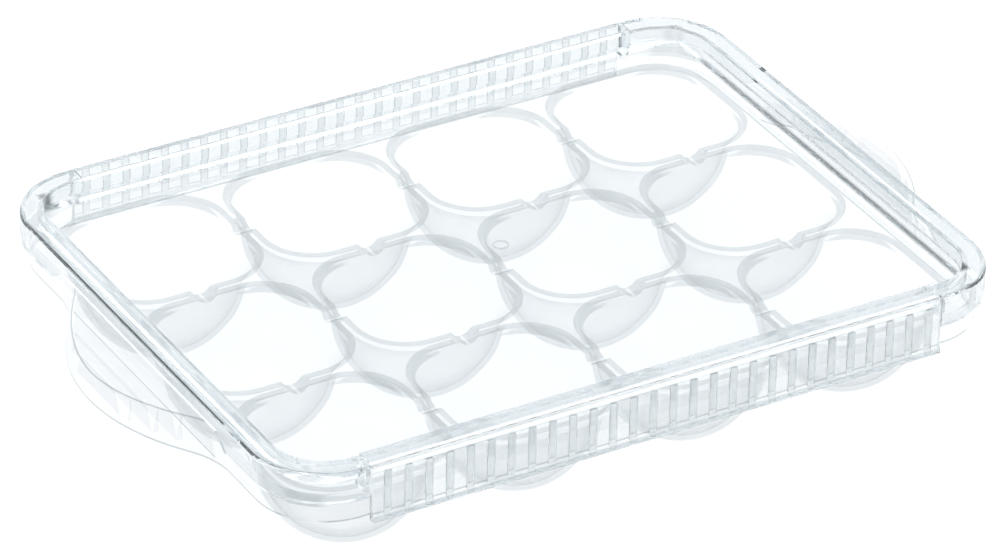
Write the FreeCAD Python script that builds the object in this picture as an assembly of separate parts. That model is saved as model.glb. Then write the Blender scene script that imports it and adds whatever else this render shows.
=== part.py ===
import FreeCAD, Part
import math
import os

from FreeCAD import Vector

# Lidded tray of twelve round-bottomed cups, all sizes in millimetres.
# +Z is up, X runs along the long side, Y along the short side.
# The origin is on the table, under the middle of the tray.

# Cups
cup_pitch = 40.0
cup_columns = 4
cup_rows = 3
cup_wall = 1.1
bowl_radius = 18.0
bowl_centre_z = 17.8
cup_rim_z = 23.7
rim_half_size = 19.4
rim_corner_radius = 11.9
rim_thickness = 1.1
# Angle up the bowl from its foot, and how square the cup is there (0 is a circle, 1 is the rim's shape)
bowl_sections = ((8.6, 0.0), (20.0, 0.0), (33.0, 0.0), (46.0, 0.0), (60.0, 0.12), (75.0, 0.28), (90.0, 0.5))
shoulder_squareness = 0.75

# Spouts that let liquid run from cup to cup
spout_radius = 2.5
spout_axis_height = 0.9
spout_wall = 0.9
spout_length = 6.4

# Deck and outer wall of the tray
deck_top_z = 22.5
deck_thickness = 1.2
wall_half_length = 84.6
wall_half_width = 64.4
wall_corner_radius = 15.2
wall_thickness = 1.2
wall_top_z = 25.8
wall_foot_z = 19.5

# Wing handles on the short sides
wing_root_x = 83.9
wing_foot = ((84.5, 38.5), (84.9, 34.8), (86.2, 30.6), (89.4, 25.4), (92.2, 20.6), (94.5, 15.2),
             (96.2, 9.4), (97.0, 4.0), (97.2, 0.0))
wing_crown = ((84.5, 34.5), (84.9, 31.6), (86.0, 28.3), (88.8, 23.7), (91.5, 18.9), (94.2, 12.8),
              (95.8, 7.6), (96.6, 3.2), (96.8, 0.0))
wing_skin = 1.1
wing_root_z = 27.4
wing_tip_z = 26.2
wing_edge_round = 0.5
# Distance from the middle of the tray and half-length of each rib
wing_ribs = ((88.4, 23.2), (91.3, 18.4), (94.2, 12.0))
wing_rib_thickness = 1.4
wing_rib_foot_z = 20.3
wing_block_reach = 16.0
wing_block_half_width = 60.0
wing_block_height = 12.0

# Lid
lid_half_length = 86.2
lid_half_width = 66.0
lid_corner_radius = 16.8
lid_thickness = 1.2
lid_rim_top_z = 31.95
lid_rim_width = 5.1
lid_panel_top_z = 28.7
lid_skirt_foot_z = 24.9
lid_outer_round = 1.1
lid_inner_round = 0.5
lid_relief_foot_half_width = 38.6
lid_relief_top_half_width = 34.4
lid_relief_top_z = 28.1
gate_ring_radius = 1.8
gate_ring_width = 0.4
gate_ring_height = 0.25
gate_ring_depth = 0.2

# Raised saddle over the lid's rim, and the stops below it
saddle_half_length = 67.6
saddle_height = 0.35
saddle_depth = 0.5
saddle_edge_round = 0.4
saddle_wall = 1.4
saddle_skin = 0.6
stop_thickness = 1.2
stop_overlap = 0.3
stop_clearance = 0.1

# Ribbed latch strips on the long sides
strip_half_length = 67.4
strip_thickness = 1.2
strip_gap = 0.15
strip_foot_z = 18.7
strip_axis_z = 31.2
grip_rib_count = 28
grip_rib_spacing = 4.75
grip_rib_width = 1.6
grip_rib_depth = 0.9
grip_rib_top_z = 30.2
grip_rib_foot_z = 19.5
grip_rib_round = 0.45
strip_lip_height = 1.5
strip_lip_depth = 0.45
catch_width = 6.4
catch_depth = 0.22
catch_top_z = 20.9
catch_foot_z = 19.0

# Working sizes: how far a cutting block passes what it cuts, how far joined pieces run into each other,
# how close two heights or angles count as the same, and half the arc of each of a circle's eight parts
cut_margin = 1.0
join_depth = 0.1
flatness = 1e-4
eighth_half_angle = 22.5


def rounded_wire(half_x, half_y, radius, z, centre_x=0.0, centre_y=0.0):
    """Closed wire of a rounded rectangle, four sides and four arcs."""
    flat_x = half_x - radius
    flat_y = half_y - radius
    diagonal = radius * math.sqrt(0.5)
    corners = ((flat_x, flat_y, 1, 1), (-flat_x, flat_y, -1, 1),
               (-flat_x, -flat_y, -1, -1), (flat_x, -flat_y, 1, -1))
    arcs = []
    for index, (x, y, side_x, side_y) in enumerate(corners):
        along_x = Vector(x + side_x * radius, y, z)
        along_y = Vector(x, y + side_y * radius, z)
        middle = Vector(x + side_x * diagonal, y + side_y * diagonal, z)
        ends = (along_x, along_y) if index % 2 == 0 else (along_y, along_x)
        arcs.append((ends[0], middle, ends[1]))
    edges = []
    for index, (start, middle, end) in enumerate(arcs):
        edges.append(Part.Arc(start, middle, end).toShape())
        edges.append(Part.makeLine(end, arcs[(index + 1) % 4][0]))
    wire = Part.Wire(edges)
    wire.translate(Vector(centre_x, centre_y, 0))
    return wire


def rounded_prism(half_x, half_y, radius, bottom_z, top_z):
    """Upright rounded-rectangle block."""
    face = Part.Face(rounded_wire(half_x, half_y, radius, bottom_z))
    return face.extrude(Vector(0, 0, top_z - bottom_z))


def centred_box(half_x, y_from, y_to, z_from, z_to, centre_x=0.0):
    """Box centred on centre_x in X and between the given Y and Z limits."""
    corner = Vector(centre_x - half_x, y_from, z_from)
    return Part.makeBox(2 * half_x, y_to - y_from, z_to - z_from, corner)


def edges_at(shape, height):
    """Edges of a shape that lie wholly in one horizontal plane."""
    flat = []
    for edge in shape.Edges:
        box = edge.BoundBox
        if abs(box.ZMin - height) < flatness and abs(box.ZMax - height) < flatness:
            flat.append(edge)
    return flat


def cup_section(half, squareness, rim_roundness, z):
    """Closed wire between a circle and a rounded square: four sides and four corners that meet smoothly."""
    corner_radius = half * (1 + squareness * (rim_roundness - 1))
    angle = math.radians(eighth_half_angle) * (1 - squareness)
    spread = math.cos(angle) - math.sin(angle)
    centre = (half - corner_radius * spread) / (1 + math.tan(angle / 2)) - corner_radius * math.sin(angle)
    far = centre + corner_radius * math.cos(angle)
    near = centre + corner_radius * math.sin(angle)
    tip = centre + corner_radius * math.sqrt(0.5)
    if angle > flatness:
        side = Part.Arc(Vector(far, -near, z), Vector(half, 0, z), Vector(far, near, z)).toShape()
    else:
        side = Part.makeLine(Vector(far, -near, z), Vector(far, near, z))
    corner = Part.Arc(Vector(far, near, z), Vector(tip, tip, z), Vector(near, far, z)).toShape()
    edges = []
    for quarter in range(4):
        for edge in (side, corner):
            turned = edge.copy()
            turned.rotate(Vector(0, 0, 0), Vector(0, 0, 1), 90 * quarter)
            edges.append(turned)
    return Part.Wire(edges)


def bowl_solid(radius, rim_half, rim_corner):
    """Lofted cup body: a round bowl that turns into a rounded square at the rim."""
    rim_roundness = rim_corner / rim_half
    wires = []
    for degrees, squareness in bowl_sections:
        half = radius * math.sin(math.radians(degrees))
        z = bowl_centre_z - radius * math.cos(math.radians(degrees))
        wires.append(cup_section(half, squareness, rim_roundness, z))
    middle_half = (radius + rim_half) / 2
    middle_z = (bowl_centre_z + cup_rim_z) / 2
    wires.append(cup_section(middle_half, shoulder_squareness, rim_roundness, middle_z))
    wires.append(cup_section(rim_half, 1.0, rim_roundness, cup_rim_z))
    return Part.makeLoft(wires, True, False)


def cup_centres():
    """Centres of the twelve cups, column by column."""
    centres = []
    for column in range(cup_columns):
        for row in range(cup_rows):
            x = (column - (cup_columns - 1) / 2) * cup_pitch
            y = (row - (cup_rows - 1) / 2) * cup_pitch
            centres.append(Vector(x, y, 0))
    return centres


def copies(shape, places):
    """Moved copies of one shape."""
    moved = []
    for place in places:
        copy = shape.copy()
        copy.translate(place)
        moved.append(copy)
    return moved


def spout_places():
    """Middle point and direction of each spout between two cups."""
    places = []
    for centre in cup_centres():
        if centre.x < (cup_columns - 1) / 2 * cup_pitch - 1:
            places.append((centre + Vector(cup_pitch / 2, 0, 0), Vector(1, 0, 0)))
        if centre.y < (cup_rows - 1) / 2 * cup_pitch - 1:
            places.append((centre + Vector(0, cup_pitch / 2, 0), Vector(0, 1, 0)))
    return places


def spout_cylinder(place, direction, radius, length):
    """Cylinder along a spout, its axis a little above the cup rims."""
    start = place - direction * (length / 2) + Vector(0, 0, cup_rim_z + spout_axis_height)
    return Part.makeCylinder(radius, length, start, direction)


def inset_points(points, distance):
    """Points of an open outline moved inwards, square to the line through their neighbours."""
    moved = []
    for index, point in enumerate(points):
        before = points[max(index - 1, 0)]
        after = points[min(index + 1, len(points) - 1)]
        along = (after - before).normalize()
        moved.append(point + Vector(along.y, -along.x, 0) * distance)
    return moved


def wing_outline(half_outline, z, inset=0.0):
    """Closed outline of a wing handle: a bowed edge that runs smoothly into the wall, and a straight root."""
    points = [Vector(x, y, z) for x, y in half_outline]
    points += [Vector(x, -y, z) for x, y in reversed(half_outline[:-1])]
    points = inset_points(points, inset)
    curve = Part.BSplineCurve()
    curve.interpolate(points)
    start = points[0]
    end = points[-1]
    root_x = wing_root_x - 2 * inset
    root_start = Vector(root_x, start.y, z)
    root_end = Vector(root_x, end.y, z)
    edges = [curve.toShape(), Part.makeLine(end, root_end),
             Part.makeLine(root_end, root_start), Part.makeLine(root_start, start)]
    return Part.Wire(edges)


def wing_top_cutter(lowering):
    """Block above the wing's sloping top face, moved down by lowering."""
    slope = (wing_tip_z - wing_root_z) / (wing_crown[-1][0] - wall_half_length)
    near_x = wing_root_x - cut_margin
    far_x = near_x + wing_block_reach
    near_z = wing_root_z - lowering + slope * (near_x - wall_half_length)
    far_z = wing_root_z - lowering + slope * (far_x - wall_half_length)
    high_z = near_z + wing_block_height
    half_y = wing_block_half_width
    corners = [Vector(near_x, -half_y, near_z), Vector(far_x, -half_y, far_z),
               Vector(far_x, -half_y, high_z), Vector(near_x, -half_y, high_z)]
    face = Part.Face(Part.makePolygon(corners + [corners[0]]))
    return face.extrude(Vector(0, 2 * half_y, 0))


def wing_block(inset, lowering):
    """Solid wing between its foot and its sloping top, drawn in by inset and lowered by lowering."""
    block = Part.makeLoft([wing_outline(wing_foot, wall_foot_z, inset),
                           wing_outline(wing_crown, wing_root_z, inset)], True, True)
    return block.cut(wing_top_cutter(lowering))


def wing_handle():
    """Hollow wing with a flared skirt and three ribs under its top."""
    outer = wing_block(0.0, 0.0)
    rims = [edge for edge in outer.Edges if edge.BoundBox.ZMin > wing_tip_z - wing_edge_round
            and edge.BoundBox.YLength > wing_foot[0][1] and edge.BoundBox.XLength > wing_edge_round]
    outer = outer.makeFillet(wing_edge_round, rims)
    wing = outer.cut(wing_block(wing_skin, wing_skin))
    ribs = []
    for x, half_y in wing_ribs:
        rib = Part.makeBox(wing_rib_thickness, 2 * half_y, wing_root_z - wing_rib_foot_z,
                           Vector(x - wing_rib_thickness / 2, -half_y, wing_rib_foot_z))
        ribs.append(rib.common(outer))
    return wing.multiFuse(ribs)


def wing_wall_patch():
    """Stretch of the tray wall that rises to carry a wing's top."""
    half_y = wing_crown[0][1]
    foot_z = wall_top_z - cut_margin
    block = Part.makeBox(wall_thickness, 2 * half_y, wing_root_z - foot_z,
                         Vector(wall_half_length - wall_thickness, -half_y, foot_z))
    return block.cut(wing_top_cutter(0.0))


def tray():
    """Deck, outer wall, twelve cups, spouts and the two wings."""
    body = rounded_prism(wall_half_length, wall_half_width, wall_corner_radius, wall_foot_z, wall_top_z)
    for from_z, to_z in ((deck_top_z, wall_top_z + cut_margin),
                         (wall_foot_z - cut_margin, deck_top_z - deck_thickness)):
        hollow = rounded_prism(wall_half_length - wall_thickness, wall_half_width - wall_thickness,
                               wall_corner_radius - wall_thickness, from_z, to_z)
        body = body.cut(hollow)
    wing = wing_handle()
    patch = wing_wall_patch()
    additions = []
    for angle in (0, 180):
        for shape in (wing, patch):
            turned = shape.copy()
            turned.rotate(Vector(0, 0, 0), Vector(0, 0, 1), angle)
            additions.append(turned)
    additions += copies(bowl_solid(bowl_radius, rim_half_size, rim_corner_radius), cup_centres())
    below_rims = rounded_prism(wall_half_length, wall_half_width, wall_corner_radius, 0, cup_rim_z)
    for place, direction in spout_places():
        block = spout_cylinder(place, direction, spout_radius + spout_wall, spout_length)
        additions.append(block.common(below_rims))
    body = body.multiFuse(additions)
    cavity = bowl_solid(bowl_radius - cup_wall, rim_half_size - rim_thickness,
                        rim_corner_radius - rim_thickness)
    body = body.cut(copies(cavity, cup_centres()))
    grooves = [spout_cylinder(place, direction, spout_radius, spout_length + cut_margin)
               for place, direction in spout_places()]
    return body.cut(grooves).removeSplitter()


def lid_shell():
    """Lid moulding without the saddles: panel, raised rim and skirt."""
    outer = rounded_prism(lid_half_length, lid_half_width, lid_corner_radius, lid_skirt_foot_z, lid_rim_top_z)
    outer = outer.makeFillet(lid_outer_round, edges_at(outer, lid_rim_top_z))
    recess = rounded_prism(lid_half_length - lid_rim_width, lid_half_width - lid_rim_width,
                           lid_corner_radius - lid_rim_width, lid_panel_top_z, lid_rim_top_z + cut_margin)
    recess = recess.makeFillet(lid_inner_round, edges_at(recess, lid_panel_top_z))
    shell = outer.cut(recess)
    inside = rounded_prism(lid_half_length - lid_thickness, lid_half_width - lid_thickness,
                           lid_corner_radius - lid_thickness, lid_skirt_foot_z - cut_margin,
                           lid_rim_top_z - lid_thickness)
    tub = rounded_prism(lid_half_length - lid_rim_width + lid_thickness,
                        lid_half_width - lid_rim_width + lid_thickness,
                        lid_corner_radius - lid_rim_width + lid_thickness,
                        lid_panel_top_z - lid_thickness, lid_rim_top_z)
    return shell.cut(inside.cut(tub))


def lid_saddles():
    """Raised bands over the rim beside each latch strip."""
    inner_y = lid_half_width - lid_rim_width - saddle_height
    outer_y = lid_half_width - strip_thickness - strip_gap
    top_z = lid_rim_top_z + saddle_height
    saddles = []
    for side in (1, -1):
        band = centred_box(saddle_half_length, inner_y, outer_y, lid_panel_top_z - saddle_depth, top_z)
        hollow = centred_box(saddle_half_length + cut_margin, inner_y + saddle_wall, outer_y + cut_margin,
                             lid_panel_top_z - cut_margin, lid_rim_top_z - saddle_skin)
        band = band.cut(hollow)
        edges = [edge for edge in edges_at(band, top_z) if edge.BoundBox.YMax < inner_y + flatness]
        band = band.makeFillet(saddle_edge_round, edges)
        if side < 0:
            band.rotate(Vector(0, 0, 0), Vector(0, 0, 1), 180)
        saddles.append(band)
    return saddles


def lid_stops():
    """Plates across the rim channel that rest on the tray wall."""
    inner_y = lid_half_width - lid_rim_width + stop_clearance
    outer_y = lid_half_width - stop_overlap
    stops = []
    for side_x in (1, -1):
        for side_y in (1, -1):
            y_from, y_to = sorted((side_y * inner_y, side_y * outer_y))
            centre_x = side_x * (saddle_half_length + stop_thickness / 2)
            stops.append(centred_box(stop_thickness / 2, y_from, y_to, wall_top_z,
                                     lid_rim_top_z - stop_overlap, centre_x))
    return stops


def handle_gap(side):
    """Gap in the lid's skirt over one handle, its ends sloping up with the handle."""
    slope = (lid_relief_foot_half_width - lid_relief_top_half_width) / (lid_relief_top_z - lid_skirt_foot_z)
    low_half_width = lid_relief_foot_half_width + slope * cut_margin
    low_z = lid_skirt_foot_z - cut_margin
    inner_x = side * (lid_half_length - lid_thickness - cut_margin)
    corners = [Vector(inner_x, -low_half_width, low_z), Vector(inner_x, low_half_width, low_z),
               Vector(inner_x, lid_relief_top_half_width, lid_relief_top_z),
               Vector(inner_x, -lid_relief_top_half_width, lid_relief_top_z)]
    face = Part.Face(Part.makePolygon(corners + [corners[0]]))
    return face.extrude(Vector(side * (lid_thickness + 2 * cut_margin), 0, 0))


def lid_openings():
    """Gaps for the latch strips on the long sides, and for the handles on the short sides."""
    inner_y = lid_half_width - strip_thickness - strip_gap
    foot_z = lid_skirt_foot_z - cut_margin
    gaps = []
    for side in (1, -1):
        y_from, y_to = sorted((side * inner_y, side * (lid_half_width + cut_margin)))
        gaps.append(centred_box(saddle_half_length, y_from, y_to, foot_z, lid_rim_top_z + cut_margin))
        gaps.append(handle_gap(side))
    return gaps


def gate_ring():
    """Thin raised ring left by the moulding gate in the middle of the panel."""
    foot = Vector(0, 0, lid_panel_top_z - gate_ring_depth)
    height = gate_ring_height + gate_ring_depth
    ring = Part.makeCylinder(gate_ring_radius, height, foot)
    return ring.cut(Part.makeCylinder(gate_ring_radius - gate_ring_width, height, foot))


def lid():
    """Clear lid: shell, stops, openings, saddles and gate ring."""
    body = lid_shell().multiFuse(lid_stops())
    body = body.cut(lid_openings())
    return body.multiFuse(lid_saddles() + [gate_ring()]).removeSplitter()


def grip_rib(centre_x):
    """One upright rib on the outside of the rear strip, its outer edges rounded."""
    outer_y = lid_half_width + grip_rib_depth
    rib = centred_box(grip_rib_width / 2, lid_half_width - join_depth, outer_y, grip_rib_foot_z,
                      grip_rib_top_z, centre_x)
    edges = [edge for edge in rib.Edges
             if edge.BoundBox.YMin > outer_y - flatness and edge.BoundBox.ZMax > grip_rib_foot_z + flatness]
    return rib.makeFillet(grip_rib_round, edges)


def latch_strip():
    """Rear latch strip: plate, round top edge, grip ribs, lip and catch."""
    outer_y = lid_half_width
    inner_y = lid_half_width - strip_thickness
    plate = centred_box(strip_half_length, inner_y, outer_y, strip_foot_z, strip_axis_z)
    top_start = Vector(-strip_half_length, (inner_y + outer_y) / 2, strip_axis_z)
    pieces = [Part.makeCylinder(strip_thickness / 2, 2 * strip_half_length, top_start, Vector(1, 0, 0))]
    first_x = -(grip_rib_count - 1) / 2 * grip_rib_spacing
    for index in range(grip_rib_count):
        pieces.append(grip_rib(first_x + index * grip_rib_spacing))
    pieces.append(centred_box(strip_half_length, outer_y - join_depth, outer_y + strip_lip_depth,
                              strip_foot_z, strip_foot_z + strip_lip_height))
    pieces.append(centred_box(catch_width / 2, inner_y - catch_depth, inner_y + join_depth,
                              catch_foot_z, catch_top_z))
    return plate.multiFuse(pieces).removeSplitter()


def export(shape, name):
    """Write one piece and report its size."""
    box = shape.BoundBox
    size = [round(length, 2) for length in (box.XLength, box.YLength, box.ZLength)]
    print(name, "solids", len(shape.Solids), "valid", shape.isValid(), "volume", round(shape.Volume), size)
    shape.exportStep("parts/" + name + ".step")


def main():
    """Build and export every piece in its closed place."""
    os.makedirs("parts", exist_ok=True)
    rear_strip = latch_strip()
    front_strip = rear_strip.copy()
    front_strip.rotate(Vector(0, 0, 0), Vector(0, 0, 1), 180)
    export(lid(), "lid")
    export(front_strip, "front_latch_strip")
    export(rear_strip, "rear_latch_strip")
    export(tray(), "tray")


main()
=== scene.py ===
import math

import bpy
from mathutils import Matrix, Vector


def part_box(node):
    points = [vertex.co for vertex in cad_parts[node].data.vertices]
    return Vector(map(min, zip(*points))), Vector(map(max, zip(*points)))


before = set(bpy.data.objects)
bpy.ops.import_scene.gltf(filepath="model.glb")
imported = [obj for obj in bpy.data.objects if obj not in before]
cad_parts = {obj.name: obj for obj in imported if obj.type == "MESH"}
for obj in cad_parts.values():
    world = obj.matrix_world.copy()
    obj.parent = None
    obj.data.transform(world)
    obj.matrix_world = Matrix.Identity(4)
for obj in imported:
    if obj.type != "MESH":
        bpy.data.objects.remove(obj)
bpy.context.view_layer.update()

# Lidded tray of twelve cups, in clear and in soft plastic, on a pale studio floor.
# All lengths are in metres, angles in degrees and colours in linear light.

# Sizes read from the frame: sideways from the middle of the object, upwards from the table
lid_half_length, lid_half_width, lid_top_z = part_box("lid")[1]
tray_half_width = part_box("tray")[1].y
rib_crest_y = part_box("rear_latch_strip")[1].y

# Camera: a long lens, raised and to the left of the long side
camera_azimuth = -30.7
camera_elevation = 31.52
camera_roll = 1.326
camera_distance = 1.399
camera_lens_mm = 239.2
camera_sensor_mm = 36.0
camera_aim = Vector((-0.0007, -0.0012, 0.0219))

# Studio: a white tent, slightly cool. Each stop is a height up the tent, from 0 at the horizon
# to 1 overhead, and the brightness there.
tent_stops = ((0.0, 0.62), (0.2, 0.66), (0.45, 0.80), (0.7, 1.17), (1.0, 1.46))
tent_hue = (1.0, 1.005, 1.01)
backdrop_tint = (0.93, 0.935, 0.94, 1.0)

# Pale floor, a disc
floor_tint = (0.93, 0.935, 0.94, 1.0)
floor_radius = 14.0
floor_segments = 96
floor_shine = 0.1
floor_cloud_scale = 3.0
floor_roughness = (0.7, 0.85)

# Softboxes: place, width and height, power in watts
softboxes = {"key_softbox": ((-0.9, -0.5, 1.5), (1.2, 1.2), 4.0),
             "rim_softbox": ((0.9, 1.3, 1.1), (1.6, 0.8), 3.0)}

# Most bounces of a light path: in all and through glass, off gloss, off chalk, and straight through
glass_bounces = 24
glossy_bounces = 8
diffuse_bounces = 3
straight_bounces = 48

# Noise: its fineness, and the middle part of its range that is used; scales are waves per metre
noise_detail = 3.0
noise_roughness = 0.55
noise_middle = (0.3, 0.7)
flow_scale = 38.0
flow_stretch = (0.35, 1.0, 1.6)
flow_height = 0.6
cloud_scale = 120.0
cloud_detail = 4.0
fine_scale = 1400.0
fine_detail = 2.0

# All plastics
white = (1.0, 1.0, 1.0, 1.0)
polished_ior = 1.49
bump_strength = 0.25
bump_distance = 0.0004
worn_edge_pointiness = (0.53, 0.62)
worn_edge_roughness = 0.12
shadow_tint = (0.99, 0.991, 0.992, 1.0)
haze_tint = (0.82, 0.84, 0.85, 1.0)
haze_front_share = 0.5

# Clear plastic of the lid and the latch strips
clear_ior = 1.3
clear_absorption_per_metre = 140.0
worn_edge_haze = 0.08

# Lid: a rim that bends light and a flat panel that doesn't. The panel's insets are counted in from
# the lid's sides, and the gate ring's depth is counted down from the lid's top.
lid_grain = 0.01
lid_roughness = (0.0, 0.015)
lid_haze = (0.005, 0.02)
lid_depth_tint = (0.86, 0.89, 0.90, 1.0)
rim_tint = (0.945, 0.955, 0.960, 1.0)
rim_streak_tint = (0.960, 0.968, 0.972, 1.0)
panel_inset_x = (0.0077, 0.0067)
panel_inset_y = (0.0075, 0.0065)
panel_tint = (0.970, 0.976, 0.979, 1.0)
panel_gloss_roughness = 0.02
gate_ring_depth = (0.00356, 0.00352)
# Painted shade: the gate ring is as clear as the panel; its grey stands in for the light its raised edges
# would bend
gate_ring_painted_shade = (0.80, 0.82, 0.83, 1.0)

# Latch strips: clear plates and ribs greyed with painted shade, with the ribs' inset counted in from their
# crests
strip_grain = 0.015
strip_roughness = (0.01, 0.04)
strip_haze = (0.02, 0.05)
strip_depth_tint = (0.87, 0.895, 0.90, 1.0)
strip_tint = (0.985, 0.990, 0.992, 1.0)
strip_streak_tint = (0.990, 0.994, 0.996, 1.0)
rib_inset = (0.0007, 0.0004)
rib_cover = 0.75
rib_painted_shade = (0.79, 0.82, 0.83, 1.0)

# Thin soft plastic of the tray: what one surface lets through, by where it is and how it is seen. The greyer
# tints of cup outsides, wall lines, lips and edge-on faces are painted shade.
tray_tint = (0.945, 0.951, 0.955, 1.0)
tray_streak_tint = (0.958, 0.963, 0.966, 1.0)
# Painted shade: the cups' outsides below the deck, face-on and edge-on, and how fast the edge-on shade takes
# over
cup_outside_painted_shade = (0.915, 0.923, 0.927, 1.0)
cup_outside_edge_painted_shade = (0.53, 0.57, 0.585, 1.0)
cup_edge_power = 2.5
wall_tint = (0.925, 0.933, 0.938, 1.0)
# Painted shade: the dark lines along the walls' sloped crowns and their lowest band, where bent light would
# show darker surroundings
line_painted_shade = (0.58, 0.62, 0.63, 1.0)
# Painted shade: the grey of the lips and notches, standing in for the light the clear rim bends and loses
# along its length
lip_painted_shade = (0.71, 0.735, 0.745, 1.0)
# Painted shade: every tray face seen edge-on is greyed, and the power sets how close to edge-on it starts
grazing_painted_shade = (0.55, 0.59, 0.60, 1.0)
grazing_power = 6.0
facing_blend = 0.5
tray_grain = 0.04
tray_roughness = (0.12, 0.22)
tray_haze = (0.01, 0.03)
wall_haze = 0.02
tray_gloss_ior = 1.3

# Tray, heights above the table between which one part of it ends and the next begins
deck_z = (0.0225, 0.0213)
lip_z = (0.0231, 0.0232)
spout_z = (0.02205, 0.02215)
# Below the foot line the outer wall takes the painted line shade
foot_line_z = (0.0200, 0.0198)

# Tray, where its outer wall and its handles begin: in from the lid's ends and from the tray's own sides
wall_inset_x = (0.0044, 0.0032)
wall_inset_y = (0.0026, 0.0014)

# Tray, the grid of cups: spacing, height of the bowls' centres, and how far outwards a face must look
cup_pitch = 0.04
cup_centre_z = 0.0178
outside_distance = (0.0, 0.002)

# Tray, how far a face turns upwards: 0 stands upright and 1 lies flat
spout_slope = (0.35, 0.45)
spout_slope_limit = (0.9995, 0.995)
crown_slope = (0.55, 0.65)
crown_slope_limit = (0.97, 0.93)


def add_node(tree, kind, **inputs):
    """One shader node with some of its inputs set by name."""
    node = tree.nodes.new(kind)
    for name, value in inputs.items():
        node.inputs[name].default_value = value
    return node


def feed(tree, socket, value):
    """Give a socket a fixed value or link it to another socket."""
    if isinstance(value, (int, float, tuple)):
        socket.default_value = value
    else:
        tree.links.new(value, socket)


def noise(tree, position, scale, detail=noise_detail, stretch=(1.0, 1.0, 1.0)):
    """Noise over the object's own metres."""
    mapping = add_node(tree, "ShaderNodeMapping", Scale=stretch)
    tree.links.new(position, mapping.inputs["Vector"])
    node = add_node(tree, "ShaderNodeTexNoise", Scale=scale, Detail=detail, Roughness=noise_roughness)
    tree.links.new(mapping.outputs["Vector"], node.inputs["Vector"])
    return node.outputs["Fac"]


def spread(tree, value, limits, between=noise_middle):
    """The middle of a value's range, stretched to run between two limits."""
    node = tree.nodes.new("ShaderNodeMapRange")
    tree.links.new(value, node.inputs["Value"])
    for name, number in zip(("From Min", "From Max", "To Min", "To Max"), between + limits):
        node.inputs[name].default_value = number
    return node.outputs["Result"]


def ramp_up(tree, value, start_and_end):
    """0 at the start, 1 at the end and straight in between; the start may be the larger one."""
    start, end = start_and_end
    if start < end:
        return spread(tree, value, (0.0, 1.0), (start, end))
    return spread(tree, value, (1.0, 0.0), (end, start))


def maths(tree, operation, first, second=0.0):
    """Maths on two values, each a socket or a number."""
    node = tree.nodes.new("ShaderNodeMath")
    node.operation = operation
    feed(tree, node.inputs[0], first)
    feed(tree, node.inputs[1], second)
    return node.outputs["Value"]


def product(tree, first, second):
    """Two values multiplied."""
    return maths(tree, "MULTIPLY", first, second)


def total(tree, first, second):
    """Two values added."""
    return maths(tree, "ADD", first, second)


def largest(tree, first, second):
    """The larger of two values."""
    return maths(tree, "MAXIMUM", first, second)


def opposite(tree, value):
    """One minus a value."""
    return maths(tree, "SUBTRACT", 1.0, value)


def vector_maths(tree, operation, *vectors):
    """Maths on vectors, each a socket or three numbers."""
    node = tree.nodes.new("ShaderNodeVectorMath")
    node.operation = operation
    for socket, vector in zip(node.inputs, vectors):
        feed(tree, socket, vector)
    return node


def part_of(tree, vector, axis):
    """One axis of a position or a normal."""
    parts = tree.nodes.new("ShaderNodeSeparateXYZ")
    tree.links.new(vector, parts.inputs["Vector"])
    return parts.outputs[axis]


def distance_along(tree, position, axis):
    """Distance from the middle along one axis, without its sign."""
    return maths(tree, "ABSOLUTE", part_of(tree, position, axis))


def past_edge(tree, place, edge, inset):
    """0 well inside an edge and 1 near it; the change runs between two distances in from that edge."""
    return ramp_up(tree, place, tuple(edge - distance for distance in inset))


def mix_colours(tree, factor, first, second):
    """Colour between two, each a socket or a fixed colour."""
    node = tree.nodes.new("ShaderNodeMix")
    node.data_type = "RGBA"
    sockets = {socket.name: socket for socket in node.inputs if socket.enabled}
    feed(tree, sockets["Factor"], factor)
    feed(tree, sockets["A"], first)
    feed(tree, sockets["B"], second)
    return [socket for socket in node.outputs if socket.enabled][0]


def mix_shaders(tree, factor, first, second):
    """Blend of two shaders."""
    node = tree.nodes.new("ShaderNodeMixShader")
    feed(tree, node.inputs["Fac"], factor)
    tree.links.new(first, node.inputs[1])
    tree.links.new(second, node.inputs[2])
    return node.outputs["Shader"]


def empty_material(name):
    """New material with no nodes."""
    material = bpy.data.materials.new(name)
    material.use_nodes = True
    material.node_tree.nodes.clear()
    return material


def skin(tree, roughness, grain):
    """What all the plastics share: streaks, cloudy patches, rubbed edges, roughness and an uneven skin."""
    position = tree.nodes.new("ShaderNodeTexCoord").outputs["Object"]
    flow = noise(tree, position, flow_scale, stretch=flow_stretch)
    cloud = noise(tree, position, cloud_scale, detail=cloud_detail)
    fine = noise(tree, position, fine_scale, detail=fine_detail)
    geometry = tree.nodes.new("ShaderNodeNewGeometry")
    edges = ramp_up(tree, geometry.outputs["Pointiness"], worn_edge_pointiness)
    bump = add_node(tree, "ShaderNodeBump", Strength=bump_strength, Distance=bump_distance)
    height = total(tree, product(tree, flow, flow_height), product(tree, fine, grain))
    tree.links.new(height, bump.inputs["Height"])
    rough = total(tree, spread(tree, cloud, roughness), product(tree, edges, worn_edge_roughness))
    return {"position": position,
            "streaks": spread(tree, flow, (0.0, 1.0)),
            "cloud": cloud,
            "edges": edges,
            "roughness": rough,
            "bump": bump.outputs["Normal"],
            "leaving": geometry.outputs["Backfacing"]}


def mirror_over(tree, surface, body, roughness, ior):
    """A mirror-like coat over a see-through body, only where light meets the plastic from outside."""
    gloss = add_node(tree, "ShaderNodeBsdfGlossy", Color=white)
    feed(tree, gloss.inputs["Roughness"], roughness)
    tree.links.new(surface["bump"], gloss.inputs["Normal"])
    fresnel = add_node(tree, "ShaderNodeFresnel", IOR=ior)
    share = product(tree, fresnel.outputs["Fac"], opposite(tree, surface["leaving"]))
    return mix_shaders(tree, share, body, gloss.outputs["BSDF"])


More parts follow.
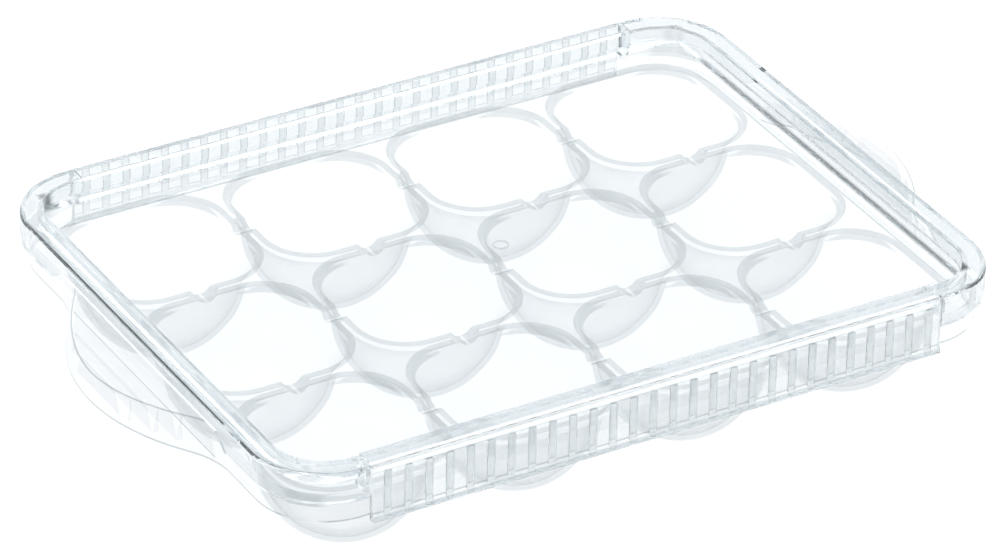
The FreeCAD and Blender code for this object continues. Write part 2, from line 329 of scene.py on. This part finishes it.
def see_through(tree, surface, tint):
    """Light goes straight on, tinted once on its way in."""
    clear = tree.nodes.new("ShaderNodeBsdfTransparent")
    tree.links.new(mix_colours(tree, surface["leaving"], tint, white), clear.inputs["Color"])
    return clear.outputs["BSDF"]


def with_haze(tree, amount, body):
    """A body with a milky share, lit from both sides."""
    through = add_node(tree, "ShaderNodeBsdfTranslucent", Color=haze_tint)
    chalk = add_node(tree, "ShaderNodeBsdfDiffuse", Color=haze_tint)
    haze = mix_shaders(tree, haze_front_share, through.outputs["BSDF"], chalk.outputs["BSDF"])
    return mix_shaders(tree, amount, body, haze)


def output(tree, shader):
    """Send a shader to the output, but let lamps and floor light pass almost unhindered."""
    clear = add_node(tree, "ShaderNodeBsdfTransparent", Color=shadow_tint)
    path = tree.nodes.new("ShaderNodeLightPath")
    passing = largest(tree, path.outputs["Is Shadow Ray"], path.outputs["Is Diffuse Ray"])
    node = tree.nodes.new("ShaderNodeOutputMaterial")
    tree.links.new(mix_shaders(tree, passing, shader, clear.outputs["BSDF"]), node.inputs["Surface"])
    return node


def bending_body(tree, surface, tint, streak_tint):
    """Glass-like body that bends light."""
    glass = add_node(tree, "ShaderNodeBsdfGlass", IOR=clear_ior)
    tree.links.new(mix_colours(tree, surface["streaks"], tint, streak_tint), glass.inputs["Color"])
    tree.links.new(surface["roughness"], glass.inputs["Roughness"])
    tree.links.new(surface["bump"], glass.inputs["Normal"])
    return glass.outputs["BSDF"]


def finish_clear(tree, surface, body, haze_limits, depth_tint):
    """Give a clear plastic its haze and its depth colour, and send it to the output."""
    amount = total(tree, spread(tree, surface["cloud"], haze_limits),
                   product(tree, surface["edges"], worn_edge_haze))
    node = output(tree, with_haze(tree, amount, body))
    depth = add_node(tree, "ShaderNodeVolumeAbsorption", Color=depth_tint, Density=clear_absorption_per_metre)
    tree.links.new(depth.outputs["Volume"], node.inputs["Volume"])


def lid_plastic():
    """Glossy clear plastic: the rim bends light, the flat panel only tints and mirrors it, and its gate ring
    is greyed with painted shade.
    """
    material = empty_material("lid_plastic")
    tree = material.node_tree
    surface = skin(tree, lid_roughness, lid_grain)
    rim = bending_body(tree, surface, rim_tint, rim_streak_tint)
    # Painted shade on the gate ring
    on_ring = past_edge(tree, part_of(tree, surface["position"], "Z"), lid_top_z, gate_ring_depth)
    panel = see_through(tree, surface, mix_colours(tree, on_ring, panel_tint, gate_ring_painted_shade))
    panel = mirror_over(tree, surface, panel, panel_gloss_roughness, polished_ior)
    along = distance_along(tree, surface["position"], "X")
    across = distance_along(tree, surface["position"], "Y")
    on_rim = largest(tree, past_edge(tree, along, lid_half_length, panel_inset_x),
                     past_edge(tree, across, lid_half_width, panel_inset_y))
    body = mix_shaders(tree, on_rim, panel, rim)
    finish_clear(tree, surface, body, lid_haze, lid_depth_tint)
    return material


def strip_plastic():
    """Glossy clear plastic whose grip ribs are greyed with painted shade."""
    material = empty_material("strip_plastic")
    tree = material.node_tree
    surface = skin(tree, strip_roughness, strip_grain)
    plate = bending_body(tree, surface, strip_tint, strip_streak_tint)
    # Painted shade over three quarters of each rib
    rib = add_node(tree, "ShaderNodeBsdfTransparent", Color=rib_painted_shade)
    across = distance_along(tree, surface["position"], "Y")
    on_rib = past_edge(tree, across, rib_crest_y, rib_inset)
    body = mix_shaders(tree, product(tree, on_rib, rib_cover), plate, rib.outputs["BSDF"])
    finish_clear(tree, surface, body, strip_haze, strip_depth_tint)
    return material


def away_from_cup(tree, position, normal):
    """How far a face looks away from the middle of its own cup: above zero outside the bowl, below inside."""
    # Four columns have cups half a pitch from the middle, and three rows have one on it.
    # A cell reaches half a pitch each way and, so that heights stay as they are, a metre upwards.
    half_pitch = cup_pitch / 2
    shifted = vector_maths(tree, "ADD", position, (half_pitch, 0.0, -cup_centre_z)).outputs["Vector"]
    cell = (half_pitch, half_pitch, 1.0)
    from_centre = vector_maths(tree, "WRAP", shifted, cell, tuple(-side for side in cell))
    return vector_maths(tree, "DOT_PRODUCT", from_centre.outputs["Vector"], normal).outputs["Value"]


def cup_sides_with_painted_shade(tree, surface, normal, tint, facing):
    """Painted shade on the cups' outsides below the deck, darkest where they are seen edge-on, standing in
    for the shade that the floor and the neighbouring cups reflect there.
    """
    edge_on = maths(tree, "POWER", facing, cup_edge_power)
    outside_tint = mix_colours(tree, edge_on, cup_outside_painted_shade, cup_outside_edge_painted_shade)
    outside = product(tree, ramp_up(tree, away_from_cup(tree, surface["position"], normal), outside_distance),
                      ramp_up(tree, part_of(tree, surface["position"], "Z"), deck_z))
    return mix_colours(tree, outside, tint, outside_tint)


def tray_plastic():
    """Thin soft plastic: see-through without bending light, greyer on walls and handles, with painted shade
    on lips, notches, wall lines, cup outsides and faces seen edge-on.
    """
    material = empty_material("tray_plastic")
    tree = material.node_tree
    surface = skin(tree, tray_roughness, tray_grain)
    facing = add_node(tree, "ShaderNodeLayerWeight", Blend=facing_blend).outputs["Facing"]
    normal = tree.nodes.new("ShaderNodeTexCoord").outputs["Normal"]
    height = part_of(tree, surface["position"], "Z")
    upward = part_of(tree, normal, "Z")

    tint = mix_colours(tree, surface["streaks"], tray_tint, tray_streak_tint)
    # Painted shade on the cups' outsides
    tint = cup_sides_with_painted_shade(tree, surface, normal, tint, facing)
    along = distance_along(tree, surface["position"], "X")
    across = distance_along(tree, surface["position"], "Y")
    on_wall = largest(tree, past_edge(tree, along, lid_half_length, wall_inset_x),
                      past_edge(tree, across, tray_half_width, wall_inset_y))
    tint = mix_colours(tree, on_wall, tint, wall_tint)

    # Painted shade on the lips and in the notches between cups
    in_spout = product(tree, ramp_up(tree, upward, spout_slope), ramp_up(tree, upward, spout_slope_limit))
    in_spout = product(tree, in_spout, ramp_up(tree, height, spout_z))
    on_lip = product(tree, largest(tree, ramp_up(tree, height, lip_z), in_spout), opposite(tree, on_wall))
    # Painted shade as dark lines on the walls' sloped crowns and below the foot line
    crown = product(tree, ramp_up(tree, upward, crown_slope), ramp_up(tree, upward, crown_slope_limit))
    on_line = product(tree, largest(tree, crown, ramp_up(tree, height, foot_line_z)), on_wall)
    tint = mix_colours(tree, on_line, tint, line_painted_shade)
    tint = mix_colours(tree, on_lip, tint, lip_painted_shade)
    # Painted shade on faces seen edge-on
    tint = mix_colours(tree, maths(tree, "POWER", facing, grazing_power), tint, grazing_painted_shade)

    amount = total(tree, spread(tree, surface["cloud"], tray_haze), product(tree, on_wall, wall_haze))
    body = with_haze(tree, amount, see_through(tree, surface, tint))
    output(tree, mirror_over(tree, surface, body, surface["roughness"], tray_gloss_ior))
    return material


def dress(material, *node_names):
    """Give CAD nodes their material."""
    for name in node_names:
        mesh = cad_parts[name].data
        mesh.materials.clear()
        mesh.materials.append(material)


def floor():
    """Wide pale disc under the object."""
    corners = []
    for index in range(floor_segments):
        angle = 2 * math.pi * index / floor_segments
        corners.append((floor_radius * math.cos(angle), floor_radius * math.sin(angle), 0.0))
    mesh = bpy.data.meshes.new("floor")
    mesh.from_pydata(corners, [], [list(range(floor_segments))])
    disc = bpy.data.objects.new("floor", mesh)
    bpy.context.scene.collection.objects.link(disc)
    material = bpy.data.materials.new("pale_floor")
    material.use_nodes = True
    tree = material.node_tree
    shader = tree.nodes["Principled BSDF"]
    shader.inputs["Base Color"].default_value = floor_tint
    shader.inputs["Specular IOR Level"].default_value = floor_shine
    position = tree.nodes.new("ShaderNodeTexCoord").outputs["Object"]
    cloud = noise(tree, position, floor_cloud_scale)
    tree.links.new(spread(tree, cloud, floor_roughness), shader.inputs["Roughness"])
    mesh.materials.append(material)


def tent():
    """Soft white tent above, greyer towards the horizon, plain pale behind the object."""
    world = bpy.data.worlds.new("studio")
    bpy.context.scene.world = world
    world.use_nodes = True
    tree = world.node_tree
    tree.nodes.clear()
    direction = tree.nodes.new("ShaderNodeTexCoord").outputs["Generated"]
    ramp = tree.nodes.new("ShaderNodeValToRGB")
    ramp.color_ramp.interpolation = "EASE"
    stops = ramp.color_ramp.elements
    # New stops start halfway, and the loop after this one puts them all in their places
    while len(stops) < len(tent_stops):
        stops.new(0.5)
    for stop, (place, level) in zip(stops, tent_stops):
        stop.position = place
        stop.color = (*(level * share for share in tent_hue), 1.0)
    tree.links.new(part_of(tree, direction, "Z"), ramp.inputs["Fac"])
    cloth = tree.nodes.new("ShaderNodeBackground")
    tree.links.new(ramp.outputs["Color"], cloth.inputs["Color"])
    backdrop = add_node(tree, "ShaderNodeBackground", Color=backdrop_tint, Strength=1.0)
    path = tree.nodes.new("ShaderNodeLightPath")
    node = tree.nodes.new("ShaderNodeOutputWorld")
    tree.links.new(mix_shaders(tree, path.outputs["Is Camera Ray"], cloth.outputs["Background"],
                               backdrop.outputs["Background"]), node.inputs["Surface"])


def softbox(name, place, size, power):
    """Rectangular area light aimed at the middle of the object."""
    data = bpy.data.lights.new(name, "AREA")
    data.shape = "RECTANGLE"
    data.size, data.size_y = size
    data.energy = power
    lamp = bpy.data.objects.new(name, data)
    bpy.context.scene.collection.objects.link(lamp)
    lamp.location = place
    lamp.rotation_mode = "QUATERNION"
    lamp.rotation_quaternion = (-Vector(place)).to_track_quat("-Z", "Y")


def camera():
    """Long-lens camera at the viewing angle, slightly rolled."""
    azimuth = math.radians(camera_azimuth)
    elevation = math.radians(camera_elevation)
    roll = math.radians(camera_roll)
    back = Vector((math.sin(azimuth) * math.cos(elevation), -math.cos(azimuth) * math.cos(elevation),
                   math.sin(elevation)))
    right = Vector((math.cos(azimuth), math.sin(azimuth), 0.0))
    up = back.cross(right)
    rolled_right = right * math.cos(roll) + up * math.sin(roll)
    rolled_up = up * math.cos(roll) - right * math.sin(roll)
    data = bpy.data.cameras.new("camera")
    data.lens = camera_lens_mm
    data.sensor_width = camera_sensor_mm
    eye = bpy.data.objects.new("camera", data)
    bpy.context.scene.collection.objects.link(eye)
    eye.rotation_mode = "QUATERNION"
    eye.rotation_quaternion = Matrix((rolled_right, rolled_up, back)).transposed().to_quaternion()
    eye.location = camera_aim + back * camera_distance
    bpy.context.scene.camera = eye


def light_paths():
    """Enough bounces for many thin clear walls, one behind another."""
    scene = bpy.context.scene
    scene.cycles.max_bounces = glass_bounces
    scene.cycles.transmission_bounces = glass_bounces
    scene.cycles.glossy_bounces = glossy_bounces
    scene.cycles.diffuse_bounces = diffuse_bounces
    scene.cycles.transparent_max_bounces = straight_bounces
    scene.cycles.use_denoising = True
    scene.view_settings.view_transform = "Standard"
    scene.view_settings.exposure = 0.0


dress(lid_plastic(), "lid")
dress(strip_plastic(), "front_latch_strip", "rear_latch_strip")
dress(tray_plastic(), "tray")
floor()
tent()
for name, (place, size, power) in softboxes.items():
    softbox(name, place, size, power)
camera()
light_paths()
